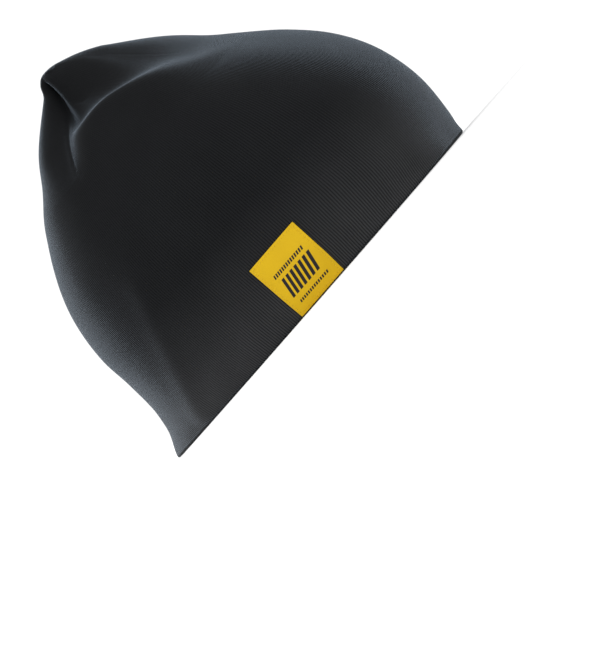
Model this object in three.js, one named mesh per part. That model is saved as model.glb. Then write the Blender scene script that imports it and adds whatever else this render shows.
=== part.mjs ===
// Skull cap: a close cap of two plies of fine rib knit with four crown darts, and a woven tag on its rim.
// Millimetres, +Z up. The rim stands on z = 0, the forehead faces -Y and the wearer's right is -X.

import * as THREE from "three";

// Cap: thickness of the two plies together, and the small rounding of the folded rim
const WALL = 3;
const RIM_EASE = 0.6;

// Crown: the darts meet on a vertical axis behind the middle of the cap, under a small knot of cloth.
// The hollow ends in a flat roof, and the gathered cloth above it is solid.
const AXIS_Y = 10.5;
const PEAK_HEIGHT = 170.2;
const HOLLOW_TOP = 128;

// Outline: reach of the wall from that axis to the forehead, the nape and each side.
// A fullness of 2 is an ellipse, and a larger one is a squarer section.
const SECTIONS = [
  { height: 0, front: 114, rear: 99, side: 77, fullness: 2.3 },
  { height: 5, front: 114.5, rear: 95.5, side: 78, fullness: 2.3 },
  { height: 10, front: 116, rear: 91, side: 79, fullness: 2.3 },
  { height: 20, front: 118.5, rear: 86.5, side: 79.5, fullness: 2.3 },
  { height: 40, front: 120, rear: 84, side: 80, fullness: 2.3 },
  { height: 58, front: 116.5, rear: 83.5, side: 79.5, fullness: 2.3 },
  { height: 77, front: 107.5, rear: 78.5, side: 77, fullness: 2.35 },
  { height: 96, front: 92.5, rear: 69, side: 71.5, fullness: 2.4 },
  { height: 115, front: 72.5, rear: 54.5, side: 62.5, fullness: 2.5 },
  { height: 124, front: 64, rear: 46, side: 57.5, fullness: 2.6 },
  { height: 134, front: 58.5, rear: 32.5, side: 51.5, fullness: 2.7 },
  { height: 144.5, front: 51.5, rear: 26, side: 44.5, fullness: 3 },
  { height: 153.5, front: 43.5, rear: 18.5, side: 34, fullness: 3 },
  { height: 160.5, front: 34, rear: 13, side: 22, fullness: 2.8 },
  { height: 165.5, front: 22, rear: 7.5, side: 12, fullness: 2.4 },
  { height: 168.5, front: 9.5, rear: 4, side: 6, fullness: 2 },
];

// Darts: angles run from the forehead over the wearer's right, and the depth is a share of the reach.
// The groove's slope is wide before the dart or after it, and a small softness makes a sharp crease.
const DARTS = [
  { angle: 0, foot: 108, depth: 0.15, before: 20, after: 20, softness: 0.5 },
  { angle: 90, foot: 122, depth: 0.85, before: 6, after: 10, softness: 0.03 },
  { angle: 180, foot: 112, depth: 0.25, before: 10, after: 10, softness: 0.3 },
  { angle: 270, foot: 120, depth: 0.5, before: 8, after: 8, softness: 0.15 },
];
// Heights where a dart has its full depth and width, and between which the knot closes over it
const DART = { deepAt: 157, wideAt: 146, knotFrom: 163, knotTo: 168.5 };
const DART_EASE = 1.2;
const FOOT_WIDTH = 0.5; // share of the full width
const WIDEST_DART = 0.5; // share of the side reach
const DART_FADE = 0.5; // cosine of the turn from a dart, past which it fades out

// Slumped lobe: between the forehead dart and the right dart the cloth sinks behind a rounded shoulder.
// It starts to sink at the shoulder's height, sinks by the drop at most, and is level again at the top.
const SLUMP = [
  { angle: -110, shoulder: 112, drop: 0, top: 169 },
  { angle: -70, shoulder: 110, drop: 3, top: 169 },
  { angle: -30, shoulder: 107, drop: 6, top: 169 },
  { angle: -8, shoulder: 105, drop: 8, top: 169 },
  { angle: 6, shoulder: 108, drop: 12, top: 169 },
  { angle: 20, shoulder: 117, drop: 16, top: 169 },
  { angle: 36, shoulder: 127.5, drop: 19, top: 168.5 },
  { angle: 55, shoulder: 137.5, drop: 20, top: 167 },
  { angle: 72, shoulder: 138, drop: 19, top: 164.5 },
  { angle: 84, shoulder: 138, drop: 17.5, top: 163 },
  { angle: 89, shoulder: 137, drop: 11, top: 163 },
  { angle: 92, shoulder: 137, drop: 0, top: 163 },
];
const SLUMP_EASE = 1.8;

// Soft folds of the worn cloth: each runs straight from one angle and height to another
const FOLDS = [
  { fromAngle: 99, fromHeight: 63, toAngle: 126.5, toHeight: 7.5, raise: -1.6, width: 8 },
  { fromAngle: 8.5, fromHeight: 3, toAngle: 43, toHeight: 37, raise: 1.3, width: 9 },
];
const MM_PER_DEGREE = 1.6; // round the wall, where the folds lie

// Tag: its size, its place on the rim and its gap from the knit
const TAG = { width: 30.5, height: 32, thickness: 0.8, angle: 58.3, foot: 0.8, gap: 0.3 };

// Mesh: columns crowd towards the darts, and each row stands at a nominal height
const COLUMNS = 104;
const CROWDING = 0.16;
const OUTER_ROWS = [
  0.6, 4, 9, 16, 26, 40, 56, 72, 86, 97, 107, 115, 122, 128, 134, 139, 144.5, 149, 153.5, 157.5, 161, 164, 166.5, 168.5,
];
const INNER_ROWS = [0.6, 9, 26, 45, 64, 82, 97, 110, 120, 130, 138];
const TAG_COLUMNS = 8;
const TAG_ROWS = 6;
const ANGLE_STEP = 0.004; // radians, to measure slopes
const HEIGHT_STEP = 0.4;

const { clamp, degToRad, euclideanModulo, lerp, radToDeg, smoothstep } = THREE.MathUtils;

// Slope of a table's column at a row, from the chords to the rows beside it
function tableSlope(table, key, column, row) {
  const chord = (a, b) => (table[b][column] - table[a][column]) / (table[b][key] - table[a][key]);
  if (row === 0) return chord(0, 1);
  if (row === table.length - 1) return chord(row - 1, row);
  const below = table[row][key] - table[row - 1][key];
  const above = table[row + 1][key] - table[row][key];
  return (above * chord(row - 1, row) + below * chord(row, row + 1)) / (below + above);
}

// One column of a table at any value of its key column, by a cubic curve through its rows
function tableValue(table, key, column, value) {
  const at = clamp(value, table[0][key], table[table.length - 1][key]);
  const row = Math.max(table.findIndex((next) => next[key] >= at) - 1, 0);
  const [low, high] = [table[row], table[row + 1]];
  const span = high[key] - low[key];
  const t = (at - low[key]) / span;
  return (
    (2 * t ** 3 - 3 * t ** 2 + 1) * low[column] +
    (t ** 3 - 2 * t ** 2 + t) * span * tableSlope(table, key, column, row) +
    (3 * t ** 2 - 2 * t ** 3) * high[column] +
    (t ** 3 - t ** 2) * span * tableSlope(table, key, column, row + 1)
  );
}

// Degrees from the forehead: positive over the wearer's right, negative over the left
function degreesFromFront(angle) {
  return euclideanModulo(radToDeg(angle) + 180, 360) - 180;
}

// Share of the reach that a dart leaves, at an angle and height
function dartShare(dart, angle, height, reach, side) {
  const turn = angle - degToRad(dart.angle);
  const rise = clamp((height - dart.foot) / (DART.deepAt - dart.foot), 0, 1);
  const spread = lerp(FOOT_WIDTH, 1, smoothstep(height, dart.foot, DART.wideAt));
  const fullWidth = Math.sin(turn) < 0 ? dart.before : dart.after;
  const width = Math.min(fullWidth * spread, WIDEST_DART * side);
  const away = Math.hypot((reach * Math.sin(turn)) / width, dart.softness) - dart.softness;
  const open = 1 - smoothstep(height, DART.knotFrom, DART.knotTo);
  const near = smoothstep(Math.cos(turn), 0, DART_FADE);
  return 1 - dart.depth * rise ** DART_EASE * Math.exp(-(away ** DART_EASE)) * open * near;
}

// How far the slumped lobe hangs below its nominal height
function slumpDrop(angle, height) {
  const at = (column) => tableValue(SLUMP, "angle", column, degreesFromFront(angle));
  const shoulder = at("shoulder");
  const rise = clamp((height - shoulder) / (at("top") - shoulder), 0, 1);
  return Math.max(at("drop"), 0) * Math.sin(Math.PI * rise ** SLUMP_EASE);
}

// How far a fold lifts or sinks the cloth, by the distance from its line
function foldRaise(fold, angle, height) {
  const onWall = (degrees, level) => new THREE.Vector2(degrees * MM_PER_DEGREE, level);
  const place = onWall(degreesFromFront(angle), height);
  const from = onWall(fold.fromAngle, fold.fromHeight);
  const along = onWall(fold.toAngle, fold.toHeight).sub(from);
  const share = clamp(place.clone().sub(from).dot(along) / along.lengthSq(), 0, 1);
  const distance = place.distanceTo(from.addScaledVector(along, share));
  return fold.raise * Math.exp(-((distance / fold.width) ** 2));
}

// A point on the outside of the cap
function outside(angle, height) {
  const at = (column) => tableValue(SECTIONS, "height", column, height);
  const [sine, cosine] = [Math.sin(angle), Math.cos(angle)];
  const [side, fullness] = [at("side"), at("fullness")];
  const long = cosine > 0 ? at("front") : at("rear");
  let reach = (Math.abs(sine / side) ** fullness + Math.abs(cosine / long) ** fullness) ** (-1 / fullness);
  for (const dart of DARTS) reach *= dartShare(dart, angle, height, reach, side);
  for (const fold of FOLDS) reach += foldRaise(fold, angle, height);
  return new THREE.Vector3(-reach * sine, AXIS_Y - reach * cosine, height - slumpDrop(angle, height));
}

// The outward direction of the surface at that point
function outward(angle, height) {
  const around = outside(angle + ANGLE_STEP, height).sub(outside(angle - ANGLE_STEP, height));
  const up = outside(angle, height + HEIGHT_STEP).sub(outside(angle, Math.max(height - HEIGHT_STEP, 0)));
  return up.cross(around).normalize();
}

// The same point on a surface that lies a distance outside the cap, or inside it if negative
function offsetPoint(angle, height, distance) {
  return outside(angle, height).addScaledVector(outward(angle, height), distance);
}

// A point of the rim on the floor, moved level so that the bottom stays flat
function rimPoint(angle, inset) {
  const level = outward(angle, 0).setZ(0).normalize();
  return outside(angle, 0).addScaledVector(level, -inset).setZ(0);
}

// A closed geometry from rings of points and a point that closes each end
function ringGeometry(rings, firstEnd, lastEnd) {
  const count = rings[0].length;
  const lastRing = (rings.length - 1) * count;
  const [firstPoint, lastPoint] = [lastRing + count, lastRing + count + 1];
  const faces = [];
  for (let i = 0; i < count; i += 1) {
    const next = (i + 1) % count;
    faces.push(next, i, firstPoint);
    for (let start = 0; start < lastRing; start += count) {
      faces.push(start + i, start + next, start + count + i);
      faces.push(start + next, start + count + next, start + count + i);
    }
    faces.push(lastRing + i, lastRing + next, lastPoint);
  }
  const geometry = new THREE.BufferGeometry().setFromPoints([...rings.flat(), firstEnd, lastEnd]);
  geometry.setIndex(faces);
  geometry.computeVertexNormals();
  return geometry;
}

// Angles of the columns, close together at the darts
function columnAngles() {
  return Array.from({ length: COLUMNS }, (_, i) => {
    const even = (2 * Math.PI * i) / COLUMNS;
    return even - CROWDING * Math.sin(DARTS.length * even);
  });
}

// The cap's wall runs from the knot on the peak down the outside, round the rim and up the inside
function capGeometry() {
  const angles = columnAngles();
  const ring = (point) => angles.map(point);
  const outer = OUTER_ROWS.map((height) => ring((angle) => outside(angle, height))).reverse();
  const rim = [RIM_EASE, WALL - RIM_EASE].map((inset) => ring((angle) => rimPoint(angle, inset)));
  const inner = INNER_ROWS.map((height) => ring((angle) => offsetPoint(angle, height, -WALL)));
  for (const point of inner[0]) point.setZ(RIM_EASE);
  const peak = new THREE.Vector3(0, AXIS_Y, PEAK_HEIGHT);
  const hollowTop = new THREE.Vector3(0, AXIS_Y, HOLLOW_TOP);
  return ringGeometry([...outer, ...rim, ...inner], peak, hollowTop);
}

// The tag is a thin plate bent to follow the wall
function tagGeometry() {
  const middle = degToRad(TAG.angle);
  const level = TAG.foot + TAG.height / 2;
  const [before, after] = [outside(middle - ANGLE_STEP, level), outside(middle + ANGLE_STEP, level)];
  const halfTurn = (TAG.width * ANGLE_STEP) / before.distanceTo(after);
  const geometry = new THREE.BoxGeometry(2, 1, 1, TAG_COLUMNS, TAG_ROWS, 1);
  const places = geometry.getAttribute("position");
  for (let i = 0; i < places.count; i += 1) {
    const angle = middle - places.getX(i) * halfTurn;
    const height = level + places.getY(i) * TAG.height;
    const distance = TAG.gap + (places.getZ(i) + 0.5) * TAG.thickness;
    places.setXYZ(i, ...offsetPoint(angle, height, distance));
  }
  geometry.computeVertexNormals();
  return geometry;
}

function piece(name, geometry, material) {
  const mesh = new THREE.Mesh(geometry, material);
  mesh.name = name;
  return mesh;
}

const ribKnit = new THREE.MeshStandardMaterial({ color: 0x1b1c1f, roughness: 0.9, metalness: 0 });
const tagCloth = new THREE.MeshStandardMaterial({ color: 0xe0b41e, roughness: 0.75, metalness: 0 });

const skullCap = new THREE.Group();
skullCap.name = "skull_cap";
skullCap.add(piece("cap_body", capGeometry(), ribKnit));
skullCap.add(piece("label", tagGeometry(), tagCloth));

export default skullCap;
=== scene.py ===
# %% [markdown]
# # A knit skull cap, dressed in Blender
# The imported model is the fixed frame: it gives the cap's size, place and nodes, in metres, with the
# forehead towards -Y, the wearer's right side towards -X and the rim on the floor at z = 0.
# Each soft piece below replaces one of its plain solids, so it is built where that solid lies.

# %% Load the frame
import bisect
import functools
import math

import bmesh
import bpy
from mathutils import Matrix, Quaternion, Vector, noise


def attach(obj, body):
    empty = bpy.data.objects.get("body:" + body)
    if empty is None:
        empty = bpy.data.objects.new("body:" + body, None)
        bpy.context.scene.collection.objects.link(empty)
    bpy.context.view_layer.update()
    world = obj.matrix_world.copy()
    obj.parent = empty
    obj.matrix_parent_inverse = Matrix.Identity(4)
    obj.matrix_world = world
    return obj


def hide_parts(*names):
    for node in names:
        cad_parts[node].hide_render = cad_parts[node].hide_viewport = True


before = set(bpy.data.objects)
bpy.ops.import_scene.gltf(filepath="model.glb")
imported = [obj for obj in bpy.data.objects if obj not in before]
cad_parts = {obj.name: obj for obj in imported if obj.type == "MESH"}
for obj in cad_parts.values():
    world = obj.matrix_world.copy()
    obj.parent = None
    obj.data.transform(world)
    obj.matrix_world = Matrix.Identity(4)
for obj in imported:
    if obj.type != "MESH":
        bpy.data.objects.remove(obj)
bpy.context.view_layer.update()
MM = 0.001
print("nodes", sorted(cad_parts))

# %% [markdown]
# ## The camera
# The photograph was taken with a long lens, level with the rim and from the right, a little in front of
# the side. The picture is turned, so that the rim runs up from the lower left to the right. A camera can
# be aimed with a constraint, but here it is placed once: a point in the middle of the picture, a distance
# along the view, and a roll. Its height keeps it just above the floor that the rim stands on.

# %% Camera at the photograph's angle
PICTURE = (612, 663)
MM_PER_PIXEL = 0.4785
VIEW_ANGLE = math.radians(63)      # from the forehead towards the wearer's right
RIM_SLOPE = math.radians(49)       # of the rim line in the picture
NAPE_PIXEL = (178, 460)            # where the rim line starts at the nape
NAPE_TO_AXIS = 233.5               # pixels along the rim line from there to the view's origin
ORIGIN_OFFSET = 4.94               # mm along the rim line between that point and the cap's origin
DISTANCE = 2.0                     # metres
EYE_HEIGHT = 0.015                 # metres above the floor
SENSOR = 36                        # mm


def photo_camera():
    from_cap = Vector((-math.sin(VIEW_ANGLE), -math.cos(VIEW_ANGLE), 0))
    rightward = (-from_cap).cross(Vector((0, 0, 1))).normalized()
    across = PICTURE[0] / 2 - NAPE_PIXEL[0]
    down = PICTURE[1] / 2 - NAPE_PIXEL[1]
    along_rim = across * math.cos(RIM_SLOPE) - down * math.sin(RIM_SLOPE) - NAPE_TO_AXIS
    above_rim = -across * math.sin(RIM_SLOPE) - down * math.cos(RIM_SLOPE)
    sideways = rightward * (along_rim * MM_PER_PIXEL + ORIGIN_OFFSET) * MM
    target = sideways + Vector((0, 0, above_rim * MM_PER_PIXEL * MM))
    eye = sideways + from_cap * DISTANCE + Vector((0, 0, EYE_HEIGHT))
    data = bpy.data.cameras.new("photo_camera")
    data.sensor_width = SENSOR
    data.lens = SENSOR * DISTANCE / (PICTURE[1] * MM_PER_PIXEL * MM)
    camera = bpy.data.objects.new("photo_camera", data)
    camera.rotation_mode = "QUATERNION"
    aim = (target - eye).to_track_quat("-Z", "Y")
    camera.rotation_quaternion = aim @ Quaternion((0, 0, 1), -RIM_SLOPE)
    camera.location = eye
    bpy.context.scene.collection.objects.link(camera)
    return camera


bpy.context.scene.camera = photo_camera()
print("lens in mm", round(bpy.context.scene.camera.data.lens, 1))

# %% [markdown]
# ## The cap's form
# The real cap is a tube of rib knit, folded at the rim and closed by four darts at the crown. It stands as
# when worn: long from forehead to nape, with a knot of cloth at the back of the crown and a rounded lobe
# that has sunk beside the right dart. A sculpt or a cloth simulation could give such a form, but not the
# same one as the solid. So the form is one function of an angle round the cap and a height, with the
# solid's own named sizes, in millimetres. Only the soft fold beside the nape differs: here it is raised a
# little, because light from behind shows it as a ridge.

# %% Sizes of the cap in millimetres
WALL = 3.0
AXIS_Y = 10.5
PEAK_HEIGHT = 170.2
HOLLOW_TOP = 128.0
# Reach of the wall from the axis to the forehead, the nape and each side. A fullness of 2 is an ellipse.
SECTIONS = [
    dict(height=0, front=114, rear=99, side=77, fullness=2.3),
    dict(height=5, front=114.5, rear=95.5, side=78, fullness=2.3),
    dict(height=10, front=116, rear=91, side=79, fullness=2.3),
    dict(height=20, front=118.5, rear=86.5, side=79.5, fullness=2.3),
    dict(height=40, front=120, rear=84, side=80, fullness=2.3),
    dict(height=58, front=116.5, rear=83.5, side=79.5, fullness=2.3),
    dict(height=77, front=107.5, rear=78.5, side=77, fullness=2.35),
    dict(height=96, front=92.5, rear=69, side=71.5, fullness=2.4),
    dict(height=115, front=72.5, rear=54.5, side=62.5, fullness=2.5),
    dict(height=124, front=64, rear=46, side=57.5, fullness=2.6),
    dict(height=134, front=58.5, rear=32.5, side=51.5, fullness=2.7),
    dict(height=144.5, front=51.5, rear=26, side=44.5, fullness=3),
    dict(height=153.5, front=43.5, rear=18.5, side=34, fullness=3),
    dict(height=160.5, front=34, rear=13, side=22, fullness=2.8),
    dict(height=165.5, front=22, rear=7.5, side=12, fullness=2.4),
    dict(height=168.5, front=9.5, rear=4, side=6, fullness=2),
]
# Darts by angle from the forehead over the wearer's right. The depth is a share of the reach, and the
# groove's slope is wide before the dart or after it.
DARTS = [
    dict(angle=0, foot=108, depth=0.15, before=20, after=20, softness=0.5),
    dict(angle=90, foot=122, depth=0.85, before=6, after=10, softness=0.03),
    dict(angle=180, foot=112, depth=0.25, before=10, after=10, softness=0.3),
    dict(angle=270, foot=120, depth=0.5, before=8, after=8, softness=0.15),
]
DART_DEEP_AT = 157                 # height where a dart is deepest
DART_WIDE_AT = 146                 # height where it has its full width
DART_FADE = 0.5                    # cosine of the turn away from a dart, below which its effect fades
DART_EASE = 1.2
FOOT_WIDTH = 0.5                   # width at a dart's foot, as a share of its full width
WIDEST_DART = 0.5                  # as a share of the side's reach
KNOT_FROM, KNOT_TO = 163, 168.5    # heights between which the darts close at the knot
# The slumped lobe by angle: the height where it starts to sink, the most that it sinks, and the height
# where it is level again
SLUMP = [
    dict(angle=-110, shoulder=112, drop=0, top=169),
    dict(angle=-70, shoulder=110, drop=3, top=169),
    dict(angle=-30, shoulder=107, drop=6, top=169),
    dict(angle=-8, shoulder=105, drop=8, top=169),
    dict(angle=6, shoulder=108, drop=12, top=169),
    dict(angle=20, shoulder=117, drop=16, top=169),
    dict(angle=36, shoulder=127.5, drop=19, top=168.5),
    dict(angle=55, shoulder=137.5, drop=20, top=167),
    dict(angle=72, shoulder=138, drop=19, top=164.5),
    dict(angle=84, shoulder=138, drop=17.5, top=163),
    dict(angle=89, shoulder=137, drop=11, top=163),
    dict(angle=92, shoulder=137, drop=0, top=163),
]
SLUMP_EASE = 1.8
# Soft folds of the worn cloth, each straight from one angle and height to another
FOLDS = [
    dict(start=(99, 63), end=(122, 7.5), lift=1.2, width=8),
    dict(start=(8.5, 3), end=(43, 37), lift=1.3, width=9),
]
MM_PER_DEGREE = 1.6

# %% [markdown]
# ## A smooth curve through each table
# Straight lines between the rows would leave visible rings on the cloth. A cubic curve through the rows,
# with its slope at each row taken from the rows beside it, passes through every size and has no corners.
# The results are remembered, because every column of the mesh asks for the same heights.


# %% Curves through the tables
def row_slope(table, key, column, row):
    def chord(low, high):
        return (table[high][column] - table[low][column]) / (table[high][key] - table[low][key])

    if row == 0:
        return chord(0, 1)
    if row == len(table) - 1:
        return chord(row - 1, row)
    below = table[row][key] - table[row - 1][key]
    above = table[row + 1][key] - table[row][key]
    return (above * chord(row - 1, row) + below * chord(row, row + 1)) / (below + above)


def curve_value(table, key, column, value):
    at = min(max(value, table[0][key]), table[-1][key])
    row = min(max(bisect.bisect_left([entry[key] for entry in table], at) - 1, 0), len(table) - 2)
    low, high = table[row], table[row + 1]
    span = high[key] - low[key]
    t = (at - low[key]) / span
    return (
        (2 * t**3 - 3 * t**2 + 1) * low[column]
        + (t**3 - 2 * t**2 + t) * span * row_slope(table, key, column, row)
        + (3 * t**2 - 2 * t**3) * high[column]
        + (t**3 - t**2) * span * row_slope(table, key, column, row + 1)
    )


@functools.lru_cache(maxsize=None)
def section(height):
    columns = ("front", "rear", "side", "fullness")
    return [curve_value(SECTIONS, "height", column, height) for column in columns]


@functools.lru_cache(maxsize=None)
def slump_at(angle):
    degrees = (math.degrees(angle) + 180) % 360 - 180
    columns = ("shoulder", "drop", "top")
    return [degrees] + [curve_value(SLUMP, "angle", column, degrees) for column in columns]


def smooth_share(value, low, high):
    share = min(max((value - low) / (high - low), 0), 1)
    return share * share * (3 - 2 * share)


print("side reach at 60 mm", round(section(60)[2], 2))

# %% [markdown]
# ## A point on the outside
# The plain outline comes first. Then each dart takes a share of the reach away, the worn cloth's folds lift
# it a little, and the slumped lobe hangs below its height. The outward direction comes from two short steps
# on the surface, one round the cap and one up it.

# %% A point on the outside of the cap
ANGLE_STEP = 0.004                 # radians
HEIGHT_STEP = 0.4                  # mm


def dart_share(dart, angle, height, reach, side):
    turn = angle - math.radians(dart["angle"])
    if math.cos(turn) <= 0 or height <= dart["foot"]:
        return 1
    rise = min((height - dart["foot"]) / (DART_DEEP_AT - dart["foot"]), 1)
    spread = FOOT_WIDTH + (1 - FOOT_WIDTH) * smooth_share(height, dart["foot"], DART_WIDE_AT)
    width = min(dart["before" if math.sin(turn) < 0 else "after"] * spread, WIDEST_DART * side)
    away = math.hypot(reach * math.sin(turn) / width, dart["softness"]) - dart["softness"]
    still_open = 1 - smooth_share(height, KNOT_FROM, KNOT_TO)
    still_open *= smooth_share(math.cos(turn), 0, DART_FADE)
    return 1 - dart["depth"] * rise**DART_EASE * math.exp(-(max(away, 0) ** DART_EASE)) * still_open


def fold_lift(fold, degrees, height):
    start = Vector((fold["start"][0] * MM_PER_DEGREE, fold["start"][1]))
    along = Vector((fold["end"][0] * MM_PER_DEGREE, fold["end"][1])) - start
    place = Vector((degrees * MM_PER_DEGREE, height)) - start
    share = min(max(place.dot(along) / along.length_squared, 0), 1)
    return fold["lift"] * math.exp(-(((place - along * share).length / fold["width"]) ** 2))


def outside(angle, height):
    front, rear, side, fullness = section(height)
    degrees, shoulder, drop, top = slump_at(angle)
    sine, cosine = math.sin(angle), math.cos(angle)
    long = front if cosine > 0 else rear
    reach = (abs(sine / side) ** fullness + abs(cosine / long) ** fullness) ** (-1 / fullness)
    for dart in DARTS:
        reach *= dart_share(dart, angle, height, reach, side)
    for fold in FOLDS:
        reach += fold_lift(fold, degrees, height)
    rise = min(max((height - shoulder) / (top - shoulder), 0), 1)
    sunk = max(drop, 0) * math.sin(math.pi * rise**SLUMP_EASE)
    return Vector((-reach * sine, AXIS_Y - reach * cosine, height - sunk))


def outward(angle, height):
    around = outside(angle + ANGLE_STEP, height) - outside(angle - ANGLE_STEP, height)
    up = outside(angle, height + HEIGHT_STEP) - outside(angle, max(height - HEIGHT_STEP, 0))
    return up.cross(around).normalized()


print("forehead at 40 mm", outside(0, 40))

# %% [markdown]
# ## Wales and courses
# A rib knit is made of wales, the ribs that run up from the rim, and courses, its rows of loops. Here 476
# wales go round the cap. Each wale is one column of the mesh, set at equal steps round the cap's widest
# girth, with whole numbers of wales between the darts so that each dart falls on a column. The rows follow
# the cloth from the top of the hollow, down the inside, round the folded rim and up to the knot.

# %% Columns and rows of the knit
FRONT_WALES = 124                  # from the forehead dart to a side dart
REAR_WALES = 114                   # from a side dart to the nape dart
QUARTERS = [FRONT_WALES, REAR_WALES, REAR_WALES, FRONT_WALES]
WALES = sum(QUARTERS)
WIDEST = 40                        # height of the widest girth
GIRTH_STEPS = 600                  # short steps that measure a quarter of it
ROOF_EDGE = 138                    # height where the inside turns to the hollow's roof
FOLD_RADIUS = WALL / 2
RIM_ROW = 2.6                      # height of the row next to the fold, inside and outside
FINE_FROM = 104                    # height above which the outside's rows are close together


def equal_steps(start_degrees, count):
    fine = [math.radians(start_degrees + 90 * i / GIRTH_STEPS) for i in range(GIRTH_STEPS + 1)]
    lengths = [0.0]
    for a, b in zip(fine, fine[1:]):
        lengths.append(lengths[-1] + (outside(b, WIDEST) - outside(a, WIDEST)).length)
    steps = []
    for i in range(count):
        wanted = lengths[-1] * i / count
        at = max(bisect.bisect_right(lengths, wanted) - 1, 0)
        share = (wanted - lengths[at]) / (lengths[at + 1] - lengths[at])
        steps.append(fine[at] + (fine[at + 1] - fine[at]) * share)
    return steps


ANGLES = [angle for quarter, count in enumerate(QUARTERS) for angle in equal_steps(90 * quarter, count)]
ANGLES.append(2 * math.pi)


def stepped(start, end, count):
    return [start + (end - start) * i / count for i in range(count)]


INNER_HEIGHTS = stepped(ROOF_EDGE, 84, 9) + stepped(84, 9, 13) + [9, 5, RIM_ROW]
OUTER_HEIGHTS = [RIM_ROW, 4, 6, 8.5] + stepped(11.5, FINE_FROM, 32) + stepped(FINE_FROM, KNOT_TO, 66)
ROWS = [("roof", share) for share in (0, 0.4, 0.75)]
ROWS += [("inner", height) for height in INNER_HEIGHTS]
ROWS += [("fold", degrees) for degrees in (180, 150, 120, 90, 60, 30, 0)]
ROWS += [("outer", height) for height in OUTER_HEIGHTS]
ROWS += [("knot", share) for share in (0, 0.3, 0.55, 0.78, 0.93, 1)]
girth = sum((outside(b, WIDEST) - outside(a, WIDEST)).length for a, b in zip(ANGLES, ANGLES[1:]))
print("wales", WALES, "rows", len(ROWS), "wale in mm", round(girth / WALES, 3))

# %% [markdown]
# ## Placing one loop of the knit
# Each row says where it lies: under the crown, on the inside, on the round of the folded rim, on the
# outside or on the knot. The cloth of the outside also has small waves that a smooth form lacks: shallow
# dents from wear, and puckers where a dart's seam gathers it.

# %% Where a row and an angle meet
DENT = 0.45
DENT_SIZE = 26
DENTS_FROM, DENTS_FULL = 3, 20     # heights
WEAR_FULL, WEAR_TO = 150, 163      # heights between which dents and puckers fade
PUCKER = 0.12
PUCKER_LENGTH = 7.5
PUCKER_REACH = 6
PUCKER_EASE = 7                    # below and above a dart's foot, where its puckers begin and are full


def wear(angle, height):
    point = outside(angle, height)
    lift = DENT * noise.noise(point / DENT_SIZE) * smooth_share(height, DENTS_FROM, DENTS_FULL)
    for dart in DARTS:
        turn = angle - math.radians(dart["angle"])
        if math.cos(turn) > 0 and height > dart["foot"] - PUCKER_LENGTH:
            sewn = smooth_share(height, dart["foot"] - PUCKER_EASE, dart["foot"] + PUCKER_EASE)
            across = Vector((point.x, point.y - AXIS_Y)).length * math.sin(turn) / PUCKER_REACH
            ripple = math.sin(2 * math.pi * height / PUCKER_LENGTH + across)
            lift += PUCKER * ripple * math.exp(-(across**2)) * sewn
    return lift * (1 - smooth_share(height, WEAR_FULL, WEAR_TO))


def place(row, angle):
    kind, value = row
    if kind == "roof":
        return Vector((0, AXIS_Y, HOLLOW_TOP)).lerp(place(("inner", ROOF_EDGE), angle), value)
    if kind == "inner":
        return outside(angle, value) - outward(angle, value) * WALL
    if kind == "fold":
        turn = math.radians(value)
        height = FOLD_RADIUS * (1 - math.sin(turn))
        level = outward(angle, height)
        level.z = 0
        return outside(angle, height) - level.normalized() * FOLD_RADIUS * (1 - math.cos(turn))
    if kind == "outer":
        return outside(angle, value) + outward(angle, value) * wear(angle, value)
    rim_of_knot = outside(angle, KNOT_TO)
    return Vector((
        rim_of_knot.x * (1 - value),
        AXIS_Y + (rim_of_knot.y - AXIS_Y) * (1 - value),
        rim_of_knot.z + (PEAK_HEIGHT - rim_of_knot.z) * math.sin(value * math.pi / 2),
    ))


CLOTH = [[place(row, angle) for angle in ANGLES] for row in ROWS]
print("loops placed", len(CLOTH) * len(CLOTH[0]))

# %% [markdown]
# ## Where the ribs run
# Up to the darts the ribs follow the columns. Above a dart's foot the knit keeps its rib width, and what
# doesn't fit is cut away at the dart, so the ribs stay side by side and run into the seam. So the wale
# number of a point is counted from the middle of its lobe, one for each rib width that the cloth has
# there. It becomes the U of a UV map, and the distance up the cloth becomes V, so a material can draw each
# loop where it belongs.

# %% Wale numbers and distances up the cloth
DART_COLUMNS = [0, QUARTERS[0], QUARTERS[0] + QUARTERS[1], WALES - QUARTERS[3], WALES]
FEET = [dart["foot"] for dart in DARTS + DARTS[:1]]
WIDEST_WALE = 1.6                  # rib widths that one column may take up


def half_lobes():
    for start, end, low_foot, high_foot in zip(DART_COLUMNS, DART_COLUMNS[1:], FEET, FEET[1:]):
        middle = (start + end) // 2
        yield middle, start, low_foot
        yield middle, end, high_foot


def row_lengths(points):
    return [(b - a).length for a, b in zip(points, points[1:])]


def wale_numbers():
    """For each half lobe, the wale number of each of its columns at each row."""
    numbers = {}
    for middle, seam, foot in half_lobes():
        step = 1 if seam > middle else -1
        widths = row_lengths([outside(angle, foot) for angle in ANGLES])
        for index, (kind, value) in enumerate(ROWS):
            above = kind == "knot" or (kind == "outer" and value > foot)
            lengths = row_lengths(CLOTH[index]) if above else widths
            count = float(middle)
            numbers[seam, step, index, middle] = count
            for column in range(middle, seam, step):
                cell = column if step > 0 else column - 1
                count += step * min(lengths[cell] / widths[cell], WIDEST_WALE)
                numbers[seam, step, index, column + step] = count
    return numbers


WALE_NUMBERS = wale_numbers()
CLIMB = [[0.0] * len(ANGLES)]
for lower, upper in zip(CLOTH, CLOTH[1:]):
    CLIMB.append([so_far + (b - a).length for so_far, a, b in zip(CLIMB[-1], lower, upper)])
print("cloth length in mm at the forehead and the side", round(CLIMB[-1][0]), round(CLIMB[-1][QUARTERS[0]]))

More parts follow.
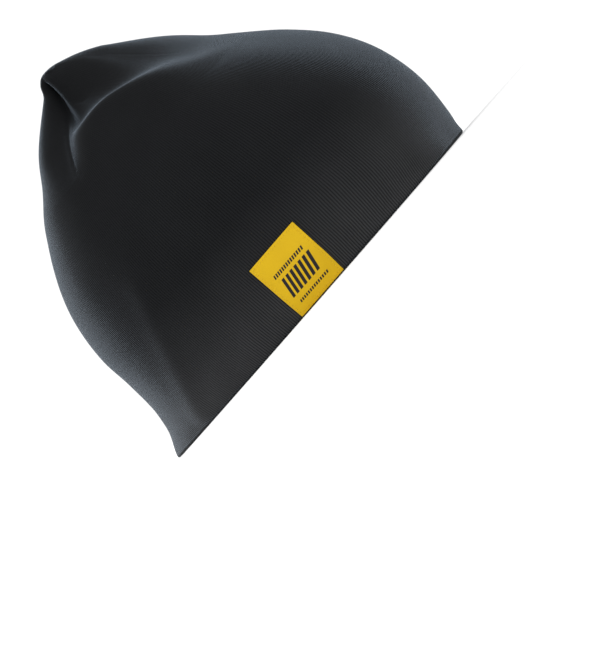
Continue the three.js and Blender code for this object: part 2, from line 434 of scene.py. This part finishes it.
# %% [markdown]
# ## Knitting the shell
# A flat grid is made first, one column for each wale. At the rim each wale is split in four, because the
# underside of the fold shows the ribs as small teeth. A bump map can't change an outline, so the teeth are
# real. The knot's rows are split too, so that the smoothing changes them less. While the grid is still
# flat, each corner of each face takes its wale number and its place up the cloth as UV. Then the grid is
# bent to the cloth's form, and its two sides and its poles are welded. Thick knit has no sharp corners, so
# the gathered crown is smoothed last, more often the higher it lies, and its seams are drawn in.

# %% From the flat grid to the cloth
TEETH = 0.6                        # depth of the furrows between the ribs, under the rim
RIM_LEVEL = 1                      # height where the rim's outward direction is taken
ON_COLUMN = 0.01                   # share of a wale that still counts as on its column
SPLIT_ROWS = [
    i for i, (kind, value) in enumerate(ROWS)
    if kind in ("fold", "knot") or (kind in ("inner", "outer") and value <= RIM_ROW)
]


def flat_place(vert):
    return (vert.co.x + 0.5) * WALES, (vert.co.y + 0.5) * (len(ROWS) - 1)


def cloth_point(column, row):
    low = min(int(column), WALES - 1)
    share = column - low
    if share < ON_COLUMN or share > 1 - ON_COLUMN:
        return CLOTH[row][low if share < 0.5 else low + 1].copy()
    return place(ROWS[row], ANGLES[low] + (ANGLES[low + 1] - ANGLES[low]) * share)


def tooth(column, row):
    """How far a furrow between two ribs sinks into the underside of the rim, and the direction."""
    kind, value = ROWS[row]
    if kind != "fold":
        return Vector()
    low = min(int(column), WALES - 1)
    angle = ANGLES[low] + (ANGLES[low + 1] - ANGLES[low]) * (column - low)
    level = outward(angle, RIM_LEVEL)
    level.z = 0
    level.normalize()
    turn = math.radians(value)
    direction = level * math.cos(turn) - Vector((0, 0, math.sin(turn)))
    furrow = 0.5 + 0.5 * math.cos(2 * math.pi * column)
    return direction * (-TEETH * furrow * math.sin(turn))


print("rows split in four", len(SPLIT_ROWS))

# %% Softening the crown and sewing its darts
SOFT_FROM, SOFT_TO = 110, 161      # heights between which the crown is smoothed
SOFT_STEP = 0.25                   # height by which each smoothing starts above the last
SOFT_FACTOR = 0.5
SOFTENINGS = 160
KNOT_SOFTENINGS = 10               # the first ones, which also reach the knot
SEAMS_FROM = 100
SEAM_SINK = 0.5
SEAM_REACH = 0.8
SEAM_BELOW, SEAM_ABOVE = 5, 9      # from a dart's foot to where its seam begins and is full
SEAM_FULL, SEAM_TO = 156, 164      # heights between which it fades at the knot
FULL_SEAM_DEPTH = 0.4              # depth of a dart whose seam sinks in fully
ALL_AXES = dict(use_axis_x=True, use_axis_y=True, use_axis_z=True)


def soften_crown(bm, crown):
    for step in range(SOFTENINGS):
        lowest = SOFT_FROM + SOFT_STEP * step
        highest = PEAK_HEIGHT if step < KNOT_SOFTENINGS else SOFT_TO
        soft = [vert for value, vert in crown if lowest < value <= highest]
        bmesh.ops.smooth_vert(bm, verts=soft, factor=SOFT_FACTOR, **ALL_AXES)


def sew_darts(bm, crown):
    """A narrow groove down each dart, where the seam pulls the cloth in."""
    bm.normal_update()
    for value, vert in crown:
        from_axis = Vector((vert.co.x / MM, vert.co.y / MM - AXIS_Y))
        for dart in DARTS:
            turn = math.radians(dart["angle"])
            line = Vector((-math.sin(turn), -math.cos(turn)))
            if from_axis.dot(line) > 0:
                sewn = smooth_share(value, dart["foot"] - SEAM_BELOW, dart["foot"] + SEAM_ABOVE)
                sewn *= 1 - smooth_share(value, SEAM_FULL, SEAM_TO)
                sink = SEAM_SINK * min(dart["depth"] / FULL_SEAM_DEPTH, 1) ** 2 * sewn
                away = from_axis.cross(line) / SEAM_REACH
                vert.co -= vert.normal * (sink * math.exp(-(away**2)) * MM)


print("smoothings from", SOFT_FROM, "to", SOFT_FROM + SOFT_STEP * SOFTENINGS, "mm")

# %% The knit shell
CUTS = 3                           # new columns inside each wale of a split row
WELD = 0.00002                     # metres between corners that become one


def in_scene(bm, name):
    """An object of the scene from a finished bmesh."""
    mesh = bpy.data.meshes.new(name)
    bm.to_mesh(mesh)
    bm.free()
    made = bpy.data.objects.new(name, mesh)
    bpy.context.scene.collection.objects.link(made)
    return made


def knit_shell():
    bm = bmesh.new()
    bmesh.ops.create_grid(bm, x_segments=WALES, y_segments=len(ROWS) - 1, size=0.5)
    split = []
    for edge in bm.edges:
        (_, row_a), (_, row_b) = (flat_place(vert) for vert in edge.verts)
        if round(row_a) == round(row_b) and round(row_a) in SPLIT_ROWS:
            split.append(edge)
    bmesh.ops.subdivide_edges(bm, edges=split, cuts=CUTS, use_grid_fill=True)
    uv = bm.loops.layers.uv.new("knit")
    halves = {}
    for middle, seam, _ in half_lobes():
        for column in range(min(middle, seam), max(middle, seam)):
            halves[column] = (middle, seam, 1 if seam > middle else -1)
    for face in bm.faces:
        face.smooth = True
        centre = sum(flat_place(loop.vert)[0] for loop in face.loops) / len(face.loops)
        middle, seam, step = halves[min(int(centre), WALES - 1)]
        for loop in face.loops:
            column, row = flat_place(loop.vert)
            row = round(row)
            low, high = math.floor(column + ON_COLUMN), math.ceil(column - ON_COLUMN)
            share = column - low
            wales = WALE_NUMBERS[seam, step, row, low], WALE_NUMBERS[seam, step, row, high]
            wale = wales[0] * (1 - share) + wales[1] * share
            loop[uv].uv = (wale, CLIMB[row][low] * (1 - share) + CLIMB[row][high] * share)
    crown = []
    for vert in bm.verts:
        column, row = flat_place(vert)
        row = round(row)
        kind, value = ROWS[row]
        vert.co = (cloth_point(column, row) + tooth(column, row)) * MM
        if kind == "knot" or (kind == "outer" and value > SEAMS_FROM):
            crown.append((PEAK_HEIGHT if kind == "knot" else value, vert))
    bmesh.ops.remove_doubles(bm, verts=bm.verts, dist=WELD)
    bm.normal_update()
    bmesh.ops.recalc_face_normals(bm, faces=bm.faces)
    crown = [(value, vert) for value, vert in crown if vert.is_valid]
    soften_crown(bm, crown)
    sew_darts(bm, crown)
    return in_scene(bm, "knit_shell")


shell = knit_shell()
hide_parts("cap_body")
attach(shell, "root")
shell.data.calc_loop_triangles()
print("shell triangles", len(shell.data.loop_triangles))

# %% [markdown]
# ## Shader maths in plain expressions
# A material is a tree of nodes. Writing each link by hand hides the pattern, so a small class stands for
# one output socket: sums and products on it add Math nodes, and one method adds any other node.


# %% A socket that can be calculated with
class Wire:
    def __init__(self, tree, socket=None):
        self.tree = tree
        self.socket = socket

    def node(self, kind, settings=None, values=None, output=0):
        """Adds a node: settings are its own, values are for its sockets, by name or number."""
        made = self.tree.nodes.new(kind)
        for name, value in (settings or {}).items():
            setattr(made, name, value)
        for name, value in (values or {}).items():
            if isinstance(value, Wire):
                self.tree.links.new(value.socket, made.inputs[name])
            else:
                made.inputs[name].default_value = value
        return Wire(self.tree, made.outputs[output])

    def maths(self, operation, *values):
        return self.node("ShaderNodeMath", {"operation": operation}, dict(enumerate((self, *values))))

    def __add__(self, other):
        return self.maths("ADD", other)

    def __mul__(self, other):
        return self.maths("MULTIPLY", other)

    def __truediv__(self, other):
        return self.maths("DIVIDE", other)

    def __sub__(self, other):
        return self.maths("SUBTRACT", other)

    def __rsub__(self, other):
        return self.node("ShaderNodeMath", {"operation": "SUBTRACT"}, {0: other, 1: self})

    def __pow__(self, other):
        return self.maths("POWER", other)

    def __abs__(self):
        return self.maths("ABSOLUTE")

    __radd__ = __add__
    __rmul__ = __mul__

    def mix(self, first, second):
        """From the first colour to the second by this wire's value."""
        return self.node(
            "ShaderNodeMix", {"data_type": "RGBA"}, {"Factor": self, 6: first, 7: second}, output=2
        )


def uv_wires(start, name):
    """The two coordinates of a UV map."""
    uv = start.node("ShaderNodeUVMap", {"uv_map": name})
    across = start.node("ShaderNodeSeparateXYZ", values={"Vector": uv})
    return across, Wire(across.tree, across.socket.node.outputs["Y"])


def finish_material(name, build, constants):
    """A Principled material, from the wires that build returns and the constants of other sockets."""
    material = bpy.data.materials.new(name)
    material.use_nodes = True
    tree = material.node_tree
    shader = tree.nodes["Principled BSDF"]
    for socket, value in constants.items():
        shader.inputs[socket].default_value = value
    for socket, wire in build(Wire(tree)).items():
        tree.links.new(wire.socket, shader.inputs[socket])
    return material


# %% [markdown]
# ## Black rib knit
# The yarn is a dull black with a slight blue cast. Close up, each wale is a round rib of V-shaped loops,
# and the furrows between the ribs are painted darker than their backs, as painted shade. Loose fibres catch
# light at a low angle, which is the cloth's sheen. Near the rim the colour is painted paler, with stronger
# ribs, as painted light that lifts the shade beside the floor. On the crown the knit is slack, and the ribs
# close up. The ribs and loops are bump, because each is far smaller than a face should be, and the pattern
# reads the knit's own UV map: one unit of U is a wale, and V is in millimetres.

# %% Rib knit material
COURSE = 0.95                      # mm from one row of loops to the next
LOOP_SLANT = 0.55                  # how far a loop's leg rises towards the middle of its wale, in courses
SLACK_FROM, SLACK_TO = 0.07, 0.14  # metres above the floor between which the ribs close up
MOST_SLACK = 0.7                   # share of the ribs' relief that is gone on the crown
PAINTED_LIGHT_TO = 0.055               # metres above the floor up to which the colour is painted paler, as painted light
# Each pair is the colour in the furrows, darker as painted shade, and on the ribs' backs; the second pair
# # is paler, as painted light near the rim
BLACKS = (0.0035, 0.0036, 0.0040, 1), (0.0150, 0.0158, 0.0172, 1)
PAINTED_LIGHT_BLACKS = (0.0070, 0.0072, 0.0078, 1), (0.0490, 0.0500, 0.0520, 1)


def rib_knit(start):
    wale, climb = uv_wires(start, "knit")
    from_middle = abs(wale.maths("FRACT") - 0.5) * 2
    back = 1 - from_middle**2.2
    leg = (climb / COURSE + from_middle * LOOP_SLANT).maths("FRACT") - 0.5
    loop = 1 - (abs(leg) * 2) ** 2
    place_on_cap = start.node("ShaderNodeTexCoord", output=3)
    height = start.node("ShaderNodeSeparateXYZ", values={"Vector": place_on_cap}, output=2)
    slack = height.node(
        "ShaderNodeMapRange", values={"Value": height, 1: SLACK_FROM, 2: SLACK_TO, 3: 0.0, 4: MOST_SLACK}
    )
    # Painted light: this share is 1 at the floor and 0 higher up, and turns the colour paler near the rim
    painted_light = height.node(
        "ShaderNodeMapRange", values={"Value": height, 1: 0.0, 2: PAINTED_LIGHT_TO, 3: 1.0, 4: 0.0}
    )
    cloud = start.node(
        "ShaderNodeTexNoise", values={"Vector": place_on_cap, "Scale": 26.0, "Detail": 3.0}
    )
    fibre = start.node(
        "ShaderNodeTexNoise", values={"Vector": place_on_cap, "Scale": 1500.0, "Detail": 2.0}
    )
    rib = (back - 0.5) * (1 - slack)
    # The ribs' backs are lighter and the furrows darker, as painted shade; the noise adds random tone
    tone = rib * 0.6 + loop * 0.06 + cloud * 0.5 + fibre * 0.25
    # Near the rim the colour is mixed towards the paler pair, as painted light
    colour = (painted_light**1.3).mix(
        tone.mix(*BLACKS), (rib * 0.9 + cloud * 0.6 + 0.2).mix(*PAINTED_LIGHT_BLACKS)
    )
    relief = rib * 0.85 + loop * back * 0.12 + fibre * 0.15
    normal = relief.node("ShaderNodeBump", values={"Height": relief, "Strength": 0.8, "Distance": 0.00028})
    return {"Base Color": colour, "Roughness": 0.95 - back * 0.1, "Normal": normal}


KNIT = finish_material(
    "rib_knit",
    rib_knit,
    {
        "Specular IOR Level": 0.06,
        "Sheen Weight": 0.5,
        "Sheen Roughness": 0.24,
        "Sheen Tint": (0.66, 0.8, 0.96, 1),
    },
)
shell.data.materials.append(KNIT)
print("materials", [material.name for material in shell.data.materials])

# %% [markdown]
# ## The woven tag
# The tag is a square of woven damask, cut with a hot knife and sewn flat to the knit. It starts as a cube
# that is flattened, divided and rounded at its edges, and is then bent onto the wall like the solid it
# replaces. It keeps its flat coordinates as UV, so that the weave and the print follow the cloth.

# %% Tag sizes in millimetres
TAG_WIDTH = 30.5
TAG_HEIGHT = 32
TAG_THICKNESS = 0.95
TAG_LIFT = 0.15                    # between the knit and the tag
TAG_ANGLE = math.radians(58.3)     # of its middle, from the forehead towards the wearer's right
TAG_FOOT = 0.8                     # height of its lower edge
TAG_ROUND = 0.3
TAG_CELLS = 24                     # along each side


def on_tag(across, up, lift):
    """A point of the tag, from its flat place in millimetres about its middle."""
    level = TAG_FOOT + TAG_HEIGHT / 2
    step = outside(TAG_ANGLE + ANGLE_STEP, level) - outside(TAG_ANGLE - ANGLE_STEP, level)
    width_per_radian = step.length / (2 * ANGLE_STEP)
    angle = TAG_ANGLE - across / width_per_radian
    return outside(angle, level + up) + outward(angle, level + up) * lift


print("middle of the tag", on_tag(0, 0, 0))

# %% The tag
def woven_tag():
    bm = bmesh.new()
    bmesh.ops.create_cube(bm, size=1)
    bmesh.ops.scale(bm, verts=bm.verts, vec=(TAG_WIDTH, TAG_HEIGHT, TAG_THICKNESS))
    bmesh.ops.bevel(
        bm, geom=bm.edges[:], offset=TAG_ROUND, offset_type="OFFSET", segments=3, profile=0.5,
        affect="EDGES", material=-1,
    )
    for axis, size in ((0, TAG_WIDTH), (1, TAG_HEIGHT)):
        direction = Vector((1, 0, 0)) if axis == 0 else Vector((0, 1, 0))
        for i in range(1, TAG_CELLS):
            cut = direction * (size * (i / TAG_CELLS - 0.5))
            everything = bm.verts[:] + bm.edges[:] + bm.faces[:]
            bmesh.ops.bisect_plane(bm, geom=everything, plane_co=cut, plane_no=direction)
    uv = bm.loops.layers.uv.new("weave")
    for face in bm.faces:
        face.smooth = True
        for loop in face.loops:
            loop[uv].uv = (loop.vert.co.x / TAG_WIDTH + 0.5, loop.vert.co.y / TAG_HEIGHT + 0.5)
    for vert in bm.verts:
        lift = TAG_LIFT + vert.co.z + TAG_THICKNESS / 2
        vert.co = on_tag(vert.co.x, vert.co.y, lift) * MM
    bm.normal_update()
    bmesh.ops.recalc_face_normals(bm, faces=bm.faces)
    return in_scene(bm, "woven_tag")


tag = woven_tag()
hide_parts("label")
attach(tag, "root")
print("tag faces", len(tag.data.polygons))

# %% [markdown]
# ## Sewing the tag on
# A row of small lockstitches in the tag's own yellow runs just inside its cut edge. Each stitch is a short
# bead of thread that is pressed into the cloth at its two ends. A flattened sphere gives that form with few
# faces, and all of them are one mesh, bent onto the wall like the tag.

# %% The stitches
STITCH = (1.5, 0.42, 0.24)         # length, width and height in mm
STITCH_PITCH = 2.1
EDGE_TO_STITCH = 1.25


def stitches():
    bm = bmesh.new()
    across, up = TAG_WIDTH / 2 - EDGE_TO_STITCH, TAG_HEIGHT / 2 - EDGE_TO_STITCH
    corners = [Vector((x, y, 0)) for x, y in ((-across, -up), (across, -up), (across, up), (-across, up))]
    for start, end in zip(corners, corners[1:] + corners[:1]):
        along = end - start
        count = round(along.length / STITCH_PITCH)
        turn = Quaternion((0, 0, 1), math.atan2(along.y, along.x)).to_matrix()
        for i in range(count):
            made = bmesh.ops.create_uvsphere(bm, u_segments=8, v_segments=6, radius=0.5)["verts"]
            bmesh.ops.scale(bm, verts=made, vec=STITCH)
            bmesh.ops.rotate(bm, verts=made, cent=(0, 0, 0), matrix=turn)
            bmesh.ops.translate(bm, verts=made, vec=start + along * ((i + 0.5) / count))
    for face in bm.faces:
        face.smooth = True
    for vert in bm.verts:
        vert.co = on_tag(vert.co.x, vert.co.y, TAG_LIFT + TAG_THICKNESS + vert.co.z) * MM
    bm.normal_update()
    bmesh.ops.recalc_face_normals(bm, faces=bm.faces)
    return in_scene(bm, "tag_stitches")


thread = stitches()
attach(thread, "root")
print("stitch faces", len(thread.data.polygons))

# %% [markdown]
# ## Damask and its print
# The tag's yellow yarns are fine and bright, with a satin gloss. Its lower two thirds carry a plain woven
# pattern in charcoal: a band of wide slanted stripes between two rows of small ones. A picture file could
# hold it, but a few lines of arithmetic on the tag's UV stay sharp at any size: each stripe is where three
# distances, up, along and within its pitch, are all inside their limits.

# %% Woven tag material
YARNS = 120                        # across the tag
# Rows of slanted stripes, each with its place and size as shares of the tag
PRINT_ROWS = [
    dict(middle=0.165, half=0.022, left=0.18, right=0.84, stripes=14, filled=0.62),
    dict(middle=0.42, half=0.15, left=0.18, right=0.84, stripes=7, filled=0.6),
    dict(middle=0.66, half=0.030, left=0.18, right=0.84, stripes=14, filled=0.62),
]
SLANT = 0.3                        # how far a stripe leans sideways for its height
EDGE = 0.005                       # width of a stripe's soft edge, as a share of the tag
# Each pair is the colour in the weave's hollows, darker as painted shade, and on its yarns
YELLOWS = (0.54, 0.32, 0.004, 1), (0.78, 0.50, 0.010, 1)
CHARCOALS = (0.008, 0.007, 0.008, 1), (0.024, 0.022, 0.025, 1)
THREAD_YELLOWS = (0.50, 0.29, 0.004, 1), (0.80, 0.52, 0.012, 1)


def soft_edge(inside):
    """1 where a distance from an edge is inside, 0 outside, and a short ramp between."""
    return inside.node("ShaderNodeClamp", values={"Value": inside / EDGE + 0.5})


def damask(start):
    across, up = uv_wires(start, "weave")
    warp = (across * YARNS).maths("FRACT") - 0.5
    weft = ((up * YARNS) + (across * (YARNS / 2)).maths("FLOOR") * 0.5).maths("FRACT") - 0.5
    thread = (1 - abs(warp) * 1.6) * (1 - abs(weft) * 1.2)
    printed = None
    for row in PRINT_ROWS:
        width = row["right"] - row["left"]
        pitch = width / row["stripes"]
        above = up - row["middle"]
        along = across - above * SLANT - row["left"]
        from_stripe = abs((along / pitch).maths("FRACT") - 0.5) * pitch
        inked = (
            soft_edge(row["half"] - abs(above))
            * soft_edge(width / 2 - abs(along - width / 2))
            * soft_edge(row["filled"] * pitch / 2 - from_stripe)
        )
        printed = inked if printed is None else printed.maths("MAXIMUM", inked)
    place_on_tag = start.node("ShaderNodeTexCoord", output=3)
    cloud = start.node(
        "ShaderNodeTexNoise", values={"Vector": place_on_tag, "Scale": 60.0, "Detail": 2.0}
    )
    # The weave's hollows are darker, as painted shade, and the noise adds random tone
    shade = thread * 0.35 + cloud * 0.6 + 0.15
    colour = printed.mix(shade.mix(*YELLOWS), shade.mix(*CHARCOALS))
    normal = thread.node("ShaderNodeBump", values={"Height": thread, "Strength": 0.5, "Distance": 0.0001})
    return {"Base Color": colour, "Roughness": 0.62 - thread * 0.12, "Normal": normal}


def sewing_yarn(start):
    place_on_tag = start.node("ShaderNodeTexCoord", output=3)
    twist = start.node(
        "ShaderNodeTexWave", {"bands_direction": "DIAGONAL"}, {"Vector": place_on_tag, "Scale": 900.0}
    )
    ply = Wire(twist.tree, twist.socket.node.outputs["Fac"])
    # The thread is darker between the twists of its ply, as painted shade
    colour = ply.mix(*THREAD_YELLOWS)
    normal = ply.node("ShaderNodeBump", values={"Height": ply, "Strength": 0.4, "Distance": 0.00008})
    return {"Base Color": colour, "Roughness": 0.6 - ply * 0.1, "Normal": normal}


DAMASK = finish_material("label_cloth", damask, {"Specular IOR Level": 0.15})
YARN = finish_material("tag_yarn", sewing_yarn, {"Specular IOR Level": 0.25})
tag.data.materials.append(DAMASK)
thread.data.materials.append(YARN)

# %% [markdown]
# ## The studio
# The photograph has a white ground and soft light from all round, brighter behind the cap, so that the
# edges of the black knit turn pale. A white world gives the even light, two large panels behind the cap and
# in front of it give the edges, and the floor is a plain pale sheet.

# %% Floor and light
FLOOR_RADIUS = 14                  # metres
FLOOR_COLOUR = (0.985, 0.985, 0.985, 1)
WORLD_STRENGTH = 1.07
LIT_POINT = Vector((0, 0, 0.08))   # what the panels face
PANEL_SIZE = (1.2, 1.0)


def studio():
    bm = bmesh.new()
    bmesh.ops.create_circle(bm, cap_ends=True, segments=96, radius=FLOOR_RADIUS)
    floor = in_scene(bm, "floor")
    paint = bpy.data.materials.new("pale_floor")
    paint.use_nodes = True
    shader = paint.node_tree.nodes["Principled BSDF"]
    shader.inputs["Base Color"].default_value = FLOOR_COLOUR
    shader.inputs["Roughness"].default_value = 0.9
    shader.inputs["Specular IOR Level"].default_value = 0.1
    floor.data.materials.append(paint)
    world = bpy.data.worlds.new("white_room")
    world.use_nodes = True
    world.node_tree.nodes["Background"].inputs["Color"].default_value = (1, 1, 1, 1)
    world.node_tree.nodes["Background"].inputs["Strength"].default_value = WORLD_STRENGTH
    bpy.context.scene.world = world
    bpy.context.scene.view_settings.view_transform = "Standard"


def panel(name, position, power):
    data = bpy.data.lights.new(name, "AREA")
    data.shape = "RECTANGLE"
    data.size, data.size_y = PANEL_SIZE
    data.energy = power
    light = bpy.data.objects.new(name, data)
    light.location = position
    light.rotation_mode = "QUATERNION"
    light.rotation_quaternion = (LIT_POINT - Vector(position)).to_track_quat("-Z", "Y")
    bpy.context.scene.collection.objects.link(light)


studio()
panel("rear_panel", (0.6, 2.0, 0.5), 44)
panel("front_panel", (0.8, -2.0, 0.5), 9)
print("lights", [light.name for light in bpy.data.lights])
